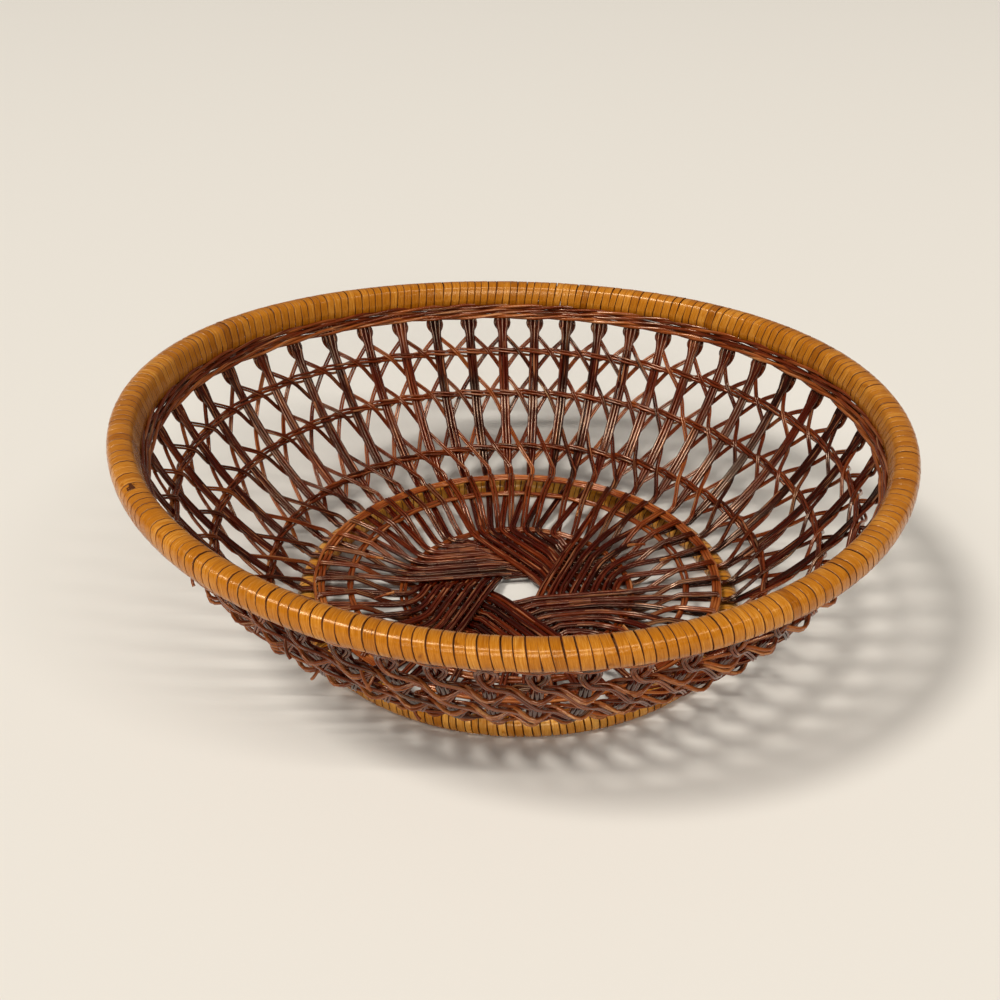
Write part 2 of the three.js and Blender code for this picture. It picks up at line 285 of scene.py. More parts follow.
# One small dark mark with a ragged outline at a fixed place on the piece
def addStain(tree, colour, mark):
    place = addNode(tree, "ShaderNodeTexCoord")
    ragged = addNode(tree, "ShaderNodeTexNoise", Scale=mark["grain"], Detail=2.0)
    tree.links.new(place.outputs["Object"], ragged.inputs["Vector"])
    away = addNode(tree, "ShaderNodeVectorMath", operation="DISTANCE")
    tree.links.new(place.outputs["Object"], away.inputs[0])
    away.inputs[1].default_value = mark["place"]
    uneven = addProduct(tree, ragged.outputs["Fac"], mark["ragged"], away.outputs["Value"])
    spot = addStep(tree, uneven, (mark["size"], mark["size"] + mark["blur"]))
    spot.inputs["To Min"].default_value = mark["strength"]
    spot.inputs["To Max"].default_value = 0.0
    return addMix(tree, spot.outputs["Result"], colour, mark["colour"])


def fibreMaterial(name, look):
    material = bpy.data.materials.new(name)
    material.use_nodes = True
    tree = material.node_tree
    shader = tree.nodes["Principled BSDF"]
    tone = addNode(tree, "ShaderNodeAttribute", attribute_name="tone")
    fibres = addNode(tree, "ShaderNodeGroup", node_tree=fibreLines)
    fibres.inputs["Across"].default_value = look["across"]
    fibres.inputs["Along"].default_value = look["along"]
    tree.links.new(tone.outputs["Fac"], fibres.inputs["Tone"])
    mixed = tone.outputs["Fac"]
    for output, weight in look["shades"].items():
        part = addNode(tree, "ShaderNodeMath", operation="MULTIPLY_ADD")
        tree.links.new(fibres.outputs[output], part.inputs[0])
        part.inputs[1].default_value = weight
        part.inputs[2].default_value = -weight / 2 if output in ("Line", "Patch") else 0
        total = addNode(tree, "ShaderNodeMath", operation="ADD")
        tree.links.new(part.outputs[0], total.inputs[0])
        tree.links.new(mixed, total.inputs[1])
        mixed = total.outputs[0]
    ramp = addNode(tree, "ShaderNodeValToRGB")
    stops = ramp.color_ramp.elements
    while len(stops) < len(look["colours"]):
        stops.new(0.5)
    for stop, (position, colour) in zip(stops, look["colours"]):
        stop.position, stop.color = position, tint(*colour)
    tree.links.new(mixed, ramp.inputs["Fac"])
    # Pale streaks mixed into the colour: partly wear, partly painted highlight
    share = addProduct(tree, fibres.outputs["Streak"], look["wearAndGlint"])
    colour = addMix(tree, share, ramp.outputs["Color"], look["worn"])
    if "stain" in look:
        colour = addStain(tree, colour, look["stain"])
    tree.links.new(colour, shader.inputs["Base Color"])
    gloss = addNode(tree, "ShaderNodeMapRange", To_Min=look["rough"][0], To_Max=look["rough"][1])
    tree.links.new(fibres.outputs["Line"], gloss.inputs["Value"])
    dull = addProduct(tree, fibres.outputs["Edge"], look["edgeRough"], gloss.outputs["Result"])
    tree.links.new(dull, shader.inputs["Roughness"])
    shader.inputs["Specular IOR Level"].default_value = look["specular"]
    shader.inputs["Specular Tint"].default_value = look["glint"]
    bump = addNode(tree, "ShaderNodeBump", Strength=look["bump"], Distance=fibre["bumpDepth"])
    tree.links.new(fibres.outputs["Line"], bump.inputs["Height"])
    tree.links.new(bump.outputs["Normal"], shader.inputs["Normal"])
    return material


darkLook = {
    "colours": (
        (0.0, (25, 3, 1)), (0.35, (70, 18, 5)), (0.7, (114, 47, 17)), (1.0, (174, 102, 50)),
    ),
    "across": 6.0, "along": 0.5, "shades": {"Line": 0.9, "Patch": 0.5, "Fleck": 0.15},
    # pale streaks: partly wear, partly painted highlight
    "wearAndGlint": 0.5, "worn": (190, 122, 80),
    "rough": (0.08, 0.22), "edgeRough": 0.0,
    "specular": 0.65, "glint": (1.0, 0.66, 0.44, 1), "bump": 0.1,
}
redLook = {
    "colours": (
        (0.0, (38, 8, 2)), (0.35, (98, 37, 13)), (0.65, (145, 76, 34)), (1.0, (208, 154, 96)),
    ),
    "across": 6.0, "along": 0.5, "shades": {"Line": 0.9, "Patch": 0.5, "Fleck": 0.15},
    # pale streaks: partly wear, partly painted highlight
    "wearAndGlint": 0.4, "worn": (200, 142, 94),
    "rough": (0.08, 0.22), "edgeRough": 0.0,
    "specular": 0.7, "glint": (1.0, 0.68, 0.46, 1), "bump": 0.1,
}
caneLook = {
    "colours": (
        (0.0, (82, 35, 4)), (0.35, (150, 84, 12)), (0.65, (176, 106, 25)), (1.0, (214, 152, 70)),
    ),
    "across": 13.0, "along": 0.9,
    # Edge darkens the sides of each turn: painted shade in the joins between turns
    "shades": {"Line": 1.1, "Patch": 0.35, "Edge": -0.9, "Fleck": -0.3},
    # pale streaks on the cane: partly wear, partly painted highlight
    "wearAndGlint": 0.15, "worn": (224, 170, 94),
    "rough": (0.12, 0.3), "edgeRough": 0.6,
    "specular": 0.6, "glint": (1.0, 0.76, 0.46, 1), "bump": 0.25,
    "stain": {
        "place": (-0.1432, -0.0797, 0.0986), "size": 0.0042, "blur": 0.0008,
        "ragged": 0.0055, "grain": 650.0, "strength": 0.92, "colour": (58, 22, 8),
    },
}
darkStrand = fibreMaterial("dark_strand", darkLook)
redStrand = fibreMaterial("red_strand", redLook)
honeyCane = fibreMaterial("honey_cane", caneLook)


# Dark brown, so that the narrow gaps between the cane turns read dark: painted shade on the hidden
# hoops
hoopLook = {"grain": 160.0, "colours": ((84, 46, 18), (128, 78, 34)), "rough": 0.65}


def hoopMaterial():
    material = bpy.data.materials.new("hoop_wood")
    material.use_nodes = True
    tree = material.node_tree
    shader = tree.nodes["Principled BSDF"]
    place = addNode(tree, "ShaderNodeTexCoord")
    grain = addNode(tree, "ShaderNodeTexNoise", Scale=hoopLook["grain"], Detail=3.0)
    tree.links.new(place.outputs["Object"], grain.inputs["Vector"])
    ramp = addNode(tree, "ShaderNodeValToRGB")
    for stop, colour in zip(ramp.color_ramp.elements, hoopLook["colours"]):
        stop.color = tint(*colour)
    tree.links.new(grain.outputs["Fac"], ramp.inputs["Fac"])
    tree.links.new(ramp.outputs["Color"], shader.inputs["Base Color"])
    shader.inputs["Roughness"].default_value = hoopLook["rough"]
    return material


hoopWood = hoopMaterial()
for node in ("rim_hoop", "foot_hoop"):
    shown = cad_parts[node]
    shown.data.materials.clear()
    shown.data.materials.append(hoopWood)
print("materials made")


# Pieces
def newShape():
    shape = bmesh.new()
    shape.faces.layers.float.new("tone")
    shape.loops.layers.uv.new("UVMap")
    return shape


toneSteps = 20
uvLength = 10  # millimetres along a strand to one unit of its UV map


# Tones that go evenly from one to another along a strand
def fade(first, last):
    return [first + (last - first) * i / toneSteps for i in range(toneSteps + 1)]


# One round strand along a run of points, with a list of tones for its length
def addRun(shape, points, radius, tones, closed=False, swells=None, detail=2):
    line = bpy.data.curves.new("run", "CURVE")
    line.dimensions = "3D"
    line.bevel_depth = radius * mm
    line.bevel_resolution = detail
    line.use_fill_caps = not closed
    spline = line.splines.new("POLY")
    spline.points.add(len(points) - 1)
    length = 0.0
    for i, point in enumerate(points):
        spline.points[i].co = (*(settled(point) * mm), 1)
        spline.points[i].radius = swells[i] if swells else 1
        length += (point - points[i - 1]).length if i else 0
    spline.use_cyclic_u = closed
    holder = bpy.data.objects.new("run", line)
    mesh = bpy.data.meshes.new_from_object(holder)
    spots = [0.0] * (2 * len(mesh.loops))
    mesh.uv_layers[0].data.foreach_get("uv", spots)
    shades = [tones[round(spots[2 * face.loop_start] * (len(tones) - 1))] for face in mesh.polygons]
    layer = mesh.attributes.new("tone", "FLOAT", "FACE")
    layer.data.foreach_set("value", [min(max(shade, 0), 1) for shade in shades])
    spots[0::2] = [value * length / uvLength for value in spots[0::2]]
    spots[0::2], spots[1::2] = spots[1::2], spots[0::2]
    mesh.uv_layers[0].data.foreach_set("uv", spots)
    mesh.uv_layers[0].name = "UVMap"
    shape.from_mesh(mesh)
    bpy.data.objects.remove(holder)
    bpy.data.curves.remove(line)
    bpy.data.meshes.remove(mesh)


def finishPiece(shape, name, material, nodes):
    mesh = bpy.data.meshes.new(name)
    shape.to_mesh(mesh)
    shape.free()
    mesh.materials.append(material)
    mesh.shade_smooth()
    piece = bpy.data.objects.new(name, mesh)
    bpy.context.scene.collection.objects.link(piece)
    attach(piece, "root")
    if nodes:
        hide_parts(*nodes)
    print(name, "made,", sum(len(face.vertices) - 2 for face in mesh.polygons), "triangles")


# Plan of the base: a strand pair runs straight past the hole to the edge of the whirl and
# bends there to its own place on the foot ring; ahead is 1 for its upper half, -1 for its tail
def headingOf(group):
    return math.pi + bowl["whirlTurn"] - group * tau / bowl["groups"]


def planPoint(group, spot):
    forward, right = wayAt(headingOf(group)), wayAt(headingOf(group) - math.pi / 2)
    return right * spot.x + forward * spot.y


def offsetOf(member):
    return bowl["firstOffset"] + member * bowl["pairPitch"]


# How far along its own line a pair lies under the next group's first pair
def coveredUntil(member):
    return (offsetOf(member) - 2 * bowl["firstOffset"]) / math.sqrt(3) + bowl["coverReach"]


pairSteps = {"straight": 8, "bend": 6, "fan": 6, "bendOut": 1.2}


def pairLine(group, member, place, ahead, start, bend):
    x = offsetOf(member)
    corner = Vector((x, ahead * math.sqrt(bowl["whirlRadius"] ** 2 - x * x)))
    angle = headingOf(group) - azimuth(place)
    edge = Vector((math.sin(angle), math.cos(angle))) * bowl["edgeRadius"]
    first = corner - Vector((0, ahead * bend))
    last = corner + (edge - corner).normalized() * bend * pairSteps["bendOut"]
    straight, soft, fan = pairSteps["straight"], pairSteps["bend"], pairSteps["fan"]
    spots = [Vector((x, start + (first.y - start) * i / straight)) for i in range(straight)]
    for i in range(soft + 1):
        t = i / soft
        spots.append((1 - t) ** 2 * first + 2 * t * (1 - t) * corner + t * t * last)
    spots += [last + (edge - last) * i / fan for i in range(1, fan + 1)]
    return spots


# A line moved sideways in plan by a distance
def shifted(spots, side):
    moved = []
    for i, spot in enumerate(spots):
        way = (spots[min(i + 1, len(spots) - 1)] - spots[max(i - 1, 0)]).normalized()
        moved.append(spot + Vector((way.y, -way.x)) * side)
    return moved


# Stakes: two strands from the whirl in the base, and a third one between them on the wall
stakes = {
    "strandRadius": 0.9,
    "baseSwell": 0.93,  # share of that radius in the base
    "baseSide": 0.84,
    "wallSide": 1.68,
    "thirdDepth": 0.25,
    "wallSteps": 22,
    "wallReach": 1.02,  # share of the wall, so the tops end inside the rim
    "spreadUntil": 0.15,
    "neck": 0.3,
    "neckShare": 0.82,
    "neckWidth": 0.06,
    "flare": 0.75,
    "headShare": 0.905,
    "headWidth": 0.05,
    "headSwells": (0.2, 0.55),  # outer strands, middle strand
    "bends": (6.0, 5.0, 13.0, 15.0, 8.0, 9.0),  # how soft the bend is in each group
    "bendChange": (0.85, 1.1),
    "bendSpare": 1.0,
    "tuck": 9.0,  # inner end, past the place where the next group covers it
    "ramp": 4.0,
    "wander": 0.25,
    "wanderStep": 0.4,
    "sway": 0.12,
    "swayTurns": 9.0,
    "darkness": (0.04, 0.12, 0.2, 0.3, 0.42),
    "baseTones": (0.1, 0.2, 0.3, 0.45),
    "toneChange": (-0.06, 0.1),
    "thirdChange": (-0.06, 0.12),
    "baseChange": 0.05,
}


def makeStakes():
    shape = newShape()
    for group in range(bowl["groups"]):
        for member in range(bowl["perGroup"]):
            number = group * bowl["perGroup"] + member
            covered = coveredUntil(member)
            rampEnd = -covered if member == 0 else covered + stakes["ramp"]
            room = math.sqrt(bowl["whirlRadius"] ** 2 - offsetOf(member) ** 2) - rampEnd
            bend = min(stakes["bends"][group], room - stakes["bendSpare"])
            bend *= chance.uniform(*stakes["bendChange"])
            middle = pairLine(group, member, number, 1, covered - stakes["tuck"], bend)
            wander = chance.uniform(-stakes["wander"], stakes["wander"])
            darkness = chance.choice(stakes["darkness"])
            for side in (-1, 1):
                points = []
                for i, spot in enumerate(shifted(middle, side * stakes["baseSide"])):
                    height = baseHeight(spot.length)
                    drop = bowl["whirlHeight"] - bowl["lowHeight"]
                    height -= drop * (1 - ease(spot.y, covered, rampEnd))
                    moved = spot + Vector((wander * math.sin(stakes["wanderStep"] * i), 0))
                    points.append(planPoint(group, moved).to_3d() + Vector((0, 0, height)))
                points += wallRun(number, side)
                inBase = len(points) - stakes["wallSteps"] - 1
                swells = [stakes["baseSwell"]] * inBase + headSwells(0)
                tone = darkness + chance.uniform(*stakes["toneChange"])
                low = chance.choice(stakes["baseTones"])
                low += chance.uniform(-stakes["baseChange"], stakes["baseChange"])
                addRun(shape, points, stakes["strandRadius"], fade(low, tone), swells=swells)
            tone = darkness + chance.uniform(*stakes["thirdChange"])
            addRun(shape, wallRun(number, 0), stakes["strandRadius"], [tone], swells=headSwells(1))
    names = ["stake_%02d" % (i + 1) for i in range(stakeCount)]
    finishPiece(shape, "stakes", darkStrand, names)


def atHead(share):
    return math.exp(-((share - stakes["headShare"]) / stakes["headWidth"]) ** 2)


def headSwells(kind):
    swell, steps, reach = stakes["headSwells"][kind], stakes["wallSteps"], stakes["wallReach"]
    return [1 + swell * atHead(reach * i / steps) for i in range(steps + 1)]


def wallRun(number, side):
    sway = chance.uniform(-stakes["sway"], stakes["sway"])
    widening = stakes["wallSide"] - stakes["baseSide"]
    points = []
    for i in range(stakes["wallSteps"] + 1):
        share = stakes["wallReach"] * i / stakes["wallSteps"]
        spread = stakes["baseSide"] + widening * ease(share, 0, stakes["spreadUntil"])
        fromNeck = (share - stakes["neckShare"]) / stakes["neckWidth"]
        spread -= stakes["neck"] * math.exp(-fromNeck ** 2)
        spread += stakes["flare"] * atHead(share)
        across = side * spread + sway * math.sin(stakes["swayTurns"] * share + number)
        depth = stakes["thirdDepth"] if side == 0 else 0
        place = number + across / spacing(number, wallAt(share)[0].x)
        points.append(wallPoint(place, share, depth))
    return points


makeStakes()


# Lacing: a pair of strands leaves the base as a tail, crosses the joint ring, climbs leftward in
# front of the wall rings, loops round a stake head and goes down outside everything
lacing = {
    "strandRadius": 0.56,
    "pairSide": 0.57,
    "tailSwell": 1.35,
    "legs": (68.8, 50.5, 30.5, 14.4),
    "front": -2.25,
    "behind": 1.7,
    "outside": (2.7, 2.1, 1.3, 0.5),
    "outsideRing": (0.35, 0.35, 0.2),
    "bow": 3.3,
    "bowOut": (0.9, 1.1),
    "loopSwell": 1.5,
    "loopTop": 78.4,
    "loopOut": 0.2,
    "loopKey": 10,  # of the keys below
    "loopLength": 1.3,
    "loopEnd": 0.01,
    "tailSide": 0.8,
    "tailPlace": 21,  # the first tail comes up this many stakes on
    "tailBend": 7,
    "tailStart": 1,
    "tailDrop": (9, 15),
    "tailClimb": (54.5, 75),
    "tailOver": 3.7,  # above the base at the joint ring
    "climbed": 3,  # spaces between foot and head
    "footSide": 0.12,
    "footKeys": ((-0.04, -3.4), (0.015, -3.1)),
    "lowLeg": (2.9, 0.6),
    "endKey": (3.05, 0.03, 0.4),
    "jitter": 0.035,
    "jitters": 8,  # drawn for each pair; the crossings use six
    "darkTone": (0.05, 0.3),
    "lightTone": (0.1, 0.46),
    "lowTone": (0.15, 0.5),
    "loopTone": (0.05, 0.2),
    "toneChange": 0.08,
    "steps": 5,
}


def tailHeight(spot):
    radius = spot.length
    drop = bowl["lowHeight"] - bowl["lowestHeight"]
    height = bowl["lowHeight"] - drop * ease(-spot.y, *lacing["tailDrop"])
    over = baseHeight(radius) + lacing["tailOver"]
    return height + (over - height) * ease(radius, *lacing["tailClimb"])


# A run moved sideways on the wall by a distance
def beside(points, normals, side):
    moved = []
    for i, point in enumerate(points):
        way = points[min(i + 1, len(points) - 1)] - points[max(i - 1, 0)]
        moved.append(point + normals[i].cross(way).normalized() * side)
    return moved


def makeLacing():
    shape = newShape()
    legShares = [shareAt(height) for height in lacing["legs"]]
    ringShares = [shareAt(height) for height in bowl["ringHeights"]]
    topShare = shareAt(lacing["loopTop"])
    bowShare = (legShares[0] + topShare) / 2
    for group in range(bowl["groups"]):
        for member in range(bowl["perGroup"]):
            place = group * bowl["perGroup"] + lacing["tailPlace"] - member
            foot = place + lacing["footSide"]
            start = lacing["tailStart"] - coveredUntil(member)
            middle = pairLine(group, member, foot, -1, start, lacing["tailBend"])
            tails = []
            for side in (-1, 1):
                points = []
                for spot in shifted(middle, side * lacing["tailSide"]):
                    points.append(planPoint(group, spot).to_3d() + Vector((0, 0, tailHeight(spot))))
                tails.append(points)
            head = place - lacing["climbed"]
            bow = lacing["bow"] / spacing(head, wallAt(bowShare)[0].x)
            most = lacing["jitter"]
            jitter = [chance.uniform(-most, most) for _ in range(lacing["jitters"])]
            keys = [(foot, share, out) for share, out in lacing["footKeys"]]
            side, inward = lacing["lowLeg"]
            keys.append((head + side, legShares[3], lacing["front"] - inward))
            for i in (2, 1, 0):
                keys.append((head + i + 0.5 + jitter[i], ringShares[i], lacing["front"]))
                keys.append((head + i, legShares[i], lacing["behind"]))
            keys.append((head - bow, bowShare, lacing["bowOut"][0]))
            keys.append((head, topShare, lacing["behind"] + lacing["loopOut"]))
            keys.append((head + bow, bowShare, lacing["bowOut"][1]))
            keys.append((head, legShares[0] - lacing["loopEnd"], lacing["outside"][0]))
            for i in range(3):
                ringOut = lacing["outsideRing"][i]
                keys.append((head - i - 0.5 + jitter[3 + i], ringShares[i], ringOut))
                keys.append((head - i - 1, legShares[i + 1], lacing["outside"][i + 1]))
            side, share, out = lacing["endKey"]
            keys.append((head - side, share, out))
            rows = flow([keys[0]] + keys + [keys[-1]], lacing["steps"])
            climb = [wallPoint(*row) for row in rows]
            normals = [wallNormal(*row[:2]) for row in rows]
            dark, light = chance.uniform(*lacing["darkTone"]), chance.uniform(*lacing["lightTone"])
            low, loop = chance.uniform(*lacing["lowTone"]), chance.uniform(*lacing["loopTone"])
            inLoop = []
            for i in range(len(climb)):
                away = i / lacing["steps"] - lacing["loopKey"]
                inLoop.append(math.exp(-(away / lacing["loopLength"]) ** 4))
            for side, tail in zip((-1, 1), tails):
                change = chance.uniform(-lacing["toneChange"], lacing["toneChange"])
                tones = [dark + (light - dark) * i / len(tail) for i in range(len(tail))]
                for i, share in enumerate(inLoop):
                    rising = i < lacing["loopKey"] * lacing["steps"]
                    plain = (light if rising else low) + change
                    tones.append(plain + (loop - plain) * share)
                swells = [lacing["tailSwell"]] * len(tail)
                swells += [1 + (lacing["loopSwell"] - 1) * share for share in inLoop]
                points = tail + beside(climb, normals, side * lacing["pairSide"])
                addRun(shape, points, lacing["strandRadius"], tones, swells=swells, detail=1)
    finishPiece(shape, "wall_lacing_strands", redStrand, ["wall_lacing"])


makeLacing()


# Wall rings: two doubled strands that change sides between the stakes and bow out round them
wallRings = {
    "strands": 4,
    "strandRadius": 0.72,
    "inside": -1.68,
    "outside": (3.4, 2.9, 2.2),
    "between": -0.95,
    "stack": 0.78,
    "outStack": 1.25,  # times the stack, outside
    "crossStack": 0.9,  # times the stack, between the stakes
    "crossLift": 0.7,
    "sag": 1.0,
    "waves": ((0.7, 2), (0.4, 5)),  # height and count of the slow waves in a ring
    "seeds": (1000, 100),  # by ring and by strand
    "outChange": (-0.5, 0.6),
    "liftChange": (-0.15, 0.15),
    "placeChange": (-0.03, 0.03),
    "crossChange": (-0.2, 0.2),
    "tone": (0.1, 0.36),
    "paler": 0.4,  # painted highlight: paler outside the stakes, most at the low middle of each bow
    "steps": 4,
}
shareStep = 0.02  # for the slope of a share against millimetres


def makeWallRings():
    for index, height in enumerate(bowl["ringHeights"]):
        shape = newShape()
        share = shareAt(height)
        stretch = shareStep / (wallAt(share + shareStep)[0] - wallAt(share)[0]).length
        starts = [chance.uniform(0, tau) for _ in wallRings["waves"]]
        outside = wallRings["outside"][index]
        for strand in range(wallRings["strands"]):
            keys = []
            for i in range(-1, stakeCount + 2):
                spot = i % stakeCount
                drift = 0.0
                for (size, count), start in zip(wallRings["waves"], starts):
                    drift += size * math.sin(count * spot * stakeStep + start)
                byRing, byStrand = wallRings["seeds"]
                wobble = random.Random(byRing * index + byStrand * strand + spot)
                out = (i + strand) % 2
                stack = wallRings["stack"] * (1 if strand < 2 else -1)
                depth = wallRings["inside"]
                if out:
                    depth = outside + wobble.uniform(*wallRings["outChange"])
                lift = stack * (wallRings["outStack"] if out else 1)
                lift += wobble.uniform(*wallRings["liftChange"]) * (1 + out)
                lift = lift + drift - wallRings["sag"] * out
                place = i + wobble.uniform(*wallRings["placeChange"])
                keys.append((place, share + lift * stretch, depth))
                lift = stack * wallRings["crossStack"] + wallRings["crossLift"] * (1 if out else -1)
                lift = lift + wobble.uniform(*wallRings["liftChange"]) + drift
                depth = wallRings["between"] + wobble.uniform(*wallRings["crossChange"])
                keys.append((i + 0.5, share + lift * stretch, depth))
            tone = chance.uniform(*wallRings["tone"])
            points = [wallPoint(*row) for row in flow(keys[1:-2], wallRings["steps"])]
            turns = [math.pi * (i * stakeCount / len(points) + strand) for i in range(len(points))]
            # Painted highlight: each strand is made paler where it passes outside the stakes
            outer = [(0.5 - 0.5 * math.cos(turn)) ** 2 for turn in turns]
            tones = [tone + wallRings["paler"] * amount for amount in outer]
            addRun(shape, points, wallRings["strandRadius"], tones, closed=True)
        node = "wall_ring_%d" % (index + 1)
        finishPiece(shape, node + "_strands", redStrand, [node])


makeWallRings()


# Band under the rim: rows of three strands, each inside two stakes and outside the next
band = {
    "strands": 3,
    "strandRadius": 0.84,
    "rows": (1.3, 3.9, 6.4),  # below the top of the wall
    "inside": -1.75,
    "outside": 1.7,
    "stack": 0.75,
    "seeds": (700, 100, 50),  # first one, by row and by strand
    "depthChange": (-0.2, 0.2),
    "liftChange": (-0.35, 0.35),
    "tone": (0.22, 0.6),
    "steps": 5,
}


def makeBand():
    shape = newShape()
    for row, drop in enumerate(band["rows"]):
        share = shareAt(bowl["wallTop"].y - drop * topWay.y)
        stretch = shareStep / (wallAt(share)[0] - wallAt(share - shareStep)[0]).length
        for strand in range(band["strands"]):
            keys = []
            for i in range(-1, stakeCount + 2):
                first, byRow, byStrand = band["seeds"]
                wobble = random.Random(first + byRow * row + byStrand * strand + i % stakeCount)
                state = (i + strand + row) % band["strands"]
                depth = band["inside"] if state else band["outside"]
                depth += wobble.uniform(*band["depthChange"])
                lift = (0, -band["stack"], band["stack"])[state]
                lift += wobble.uniform(*band["liftChange"])
                keys.append((i, share + lift * stretch, depth))
            points = [wallPoint(*item) for item in flow(keys, band["steps"])]
            tone = chance.uniform(*band["tone"])
            addRun(shape, points, band["strandRadius"], [tone], closed=True)
    finishPiece(shape, "twined_band_strands", redStrand, ["twined_band"])


makeBand()


# Cut ends that stick out of the weave: some outside at the wall rings, a few on the base
looseEnds = {
    "strandRadius": 0.66,
    "outer": 16,
    "length": (5.0, 10.0),
    "wallLength": 95.0,  # along the wall curve, foot to rim
    "ringOff": (-2, 3),  # height above the ring
    "lean": (-0.5, 0.5),
    "drop": (-0.9, 0.5),
    "rootOut": 0.8,
    "endOut": 4.2,
    "bend": (1.7, 0.7),  # steep at the root, then back along the wall
    "tone": (0.2, 0.5),
    "paler": 0.1,
    "pale": 0.95,
    "base": (  # x, y, z and heading in degrees
        (60, 27, 14, 200), (73, 15, 15, 215), (-63, -22, 14, 20),
        (-70, 12, 14, 335), (30, 62, 13, 262), (50, -47, 13, 120),
    ),
    "baseLength": 9.0,
    "baseSink": 1.5,
    "baseRise": 2.2,
    "baseBend": 0.4,
    "baseTones": (0.4, 0.5, 0.7),
}


def makeLooseEnds():
    shape = newShape()
    for i in range(looseEnds["outer"]):
        place = chance.uniform(0, stakeCount)
        share = shareAt(bowl["ringHeights"][i % 3] + chance.uniform(*looseEnds["ringOff"]))
        length = chance.uniform(*looseEnds["length"])
        lean = chance.uniform(*looseEnds["lean"]) * length / spacing(place, wallAt(share)[0].x)
        drop = chance.uniform(*looseEnds["drop"]) * length / looseEnds["wallLength"]
        tone = chance.uniform(*looseEnds["tone"])
        steep, back = looseEnds["bend"]
        points = []
        for t in (0, 0.25, 0.5, 0.75, 1):
            out = looseEnds["rootOut"] + looseEnds["endOut"] * t * (steep - back * t)
            points.append(wallPoint(place + lean * t, share + drop * t, out))
        tones = [tone, tone, tone, tone + looseEnds["paler"], looseEnds["pale"]]
        addRun(shape, points, looseEnds["strandRadius"], tones)
    for x, y, z, heading in looseEnds["base"]:
        start = Vector((x, y, z - looseEnds["baseSink"]))
        way = wayAt(math.radians(heading)).to_3d() * looseEnds["baseLength"]
        points = []
        for t in (0, 0.3, 0.6, 1):
            rise = looseEnds["baseRise"] * t * (1 - looseEnds["baseBend"] * t)
            points.append(start + way * t + Vector((0, 0, rise)))
        tones = [*looseEnds["baseTones"], looseEnds["pale"]]
        addRun(shape, points, looseEnds["strandRadius"], tones)
    finishPiece(shape, "loose_ends", redStrand, None)


makeLooseEnds()


# Rings of strands laid side by side on the base
flatRings = {
    "joint_ring": {
        "radii": (88.1, 89.75, 91.4), "height": 12.75, "strandRadius": 0.82,
        "tone": (0.5, 0.85), "ripple": 0.12,
    },
    "base_ring_1": {
        "radii": (75.15, 76.85), "height": 11.2, "strandRadius": 0.82,
        "tone": (0.28, 0.5), "ripple": 0.25,
    },
    "base_ring_2": {
        "radii": (51.1, 52.9), "height": 4.4, "strandRadius": 0.85,
        "tone": (0.3, 0.5), "ripple": 0.12,
    },
}
ringSteps = 3  # points per stake
ringSway = {"size": 0.35, "turns": 3, "rippleOut": 0.5}


def makeFlatRing(node, sizes, material):
    shape = newShape()
    for radius in sizes["radii"]:
        points = []
        shift = chance.uniform(0, tau)
        for i in range(stakeCount * ringSteps):
            angle = i * stakeStep / ringSteps
            ripple = sizes["ripple"] * math.sin(stakeCount / 2 * angle + shift)
            reach = radius + ringSway["rippleOut"] * ripple
            reach += ringSway["size"] * math.sin(ringSway["turns"] * angle + shift)
            points.append(roundPoint(angle, reach, sizes["height"] + ripple))
        tone = chance.uniform(*sizes["tone"])
        addRun(shape, points, sizes["strandRadius"], [tone], closed=True)
    finishPiece(shape, node + "_strands", material, [node])


makeFlatRing("joint_ring", flatRings["joint_ring"], darkStrand)
makeFlatRing("base_ring_1", flatRings["base_ring_1"], redStrand)
makeFlatRing("base_ring_2", flatRings["base_ring_2"], redStrand)


# Cane bindings: one turn is spun about the hoop's line and set round it many times; its section
# is a strip of width 1 with its edges let down, at a radius that makeWrap takes off again
turnShape = {
    "section": ((-0.5, -0.25), (-0.43, 0), (0.43, 0), (0.5, -0.25)),
    "radius": 10,
    "steps": 16,
    "start": math.radians(11.25),
    "crowding": math.radians(5.3),  # steps lie closer together at the corners
    "edge": 0.4,  # from here outward a line along the strip is crisp
    "level": 0.001,  # ends closer than this across the strip make a line along it
}


def makeTurn():
    turn = newShape()
    corners = [turn.verts.new((x, 0, turnShape["radius"] + y)) for x, y in turnShape["section"]]
    edges = [turn.edges.new((corners[i - 1], corners[i])) for i in range(len(corners))]
    bmesh.ops.spin(turn, geom=corners + edges, cent=(0, 0, 0), axis=(1, 0, 0), dvec=(0, 0, 0),
                   angle=tau, steps=turnShape["steps"], use_merge=True, use_duplicate=False)
    bmesh.ops.recalc_face_normals(turn, faces=turn.faces)
    for edge in turn.edges:  # crisp along both sides of the strip
        ends = [vert.co.x for vert in edge.verts]
        across = abs(ends[0] - ends[1]) > turnShape["level"]
        edge.smooth = across or abs(ends[0]) < turnShape["edge"]
    uv = turn.loops.layers.uv["UVMap"]
    for face in turn.faces:
        middle = face.calc_center_median()
        seam = math.atan2(middle.z, middle.y)
        for loop in face.loops:
            around = math.atan2(loop.vert.co.z, loop.vert.co.y)
            around += tau * round((seam - around) / tau)
            loop[uv].uv = (loop.vert.co.x, around)
    mesh = bpy.data.meshes.new("turn")
    turn.to_mesh(mesh)
    turn.free()
    return mesh


# half and square give the section; width, swell and slope say how uneven the turns are
rimWrap = {
    "turns": 240, "half": 5.55, "square": 2.6, "lip": 2.2, "gap": 0.1, "tilt": 1.0,
    "width": 0.09, "swell": 0.004, "slope": 0.08, "tone": (0.5, 0.7),
}
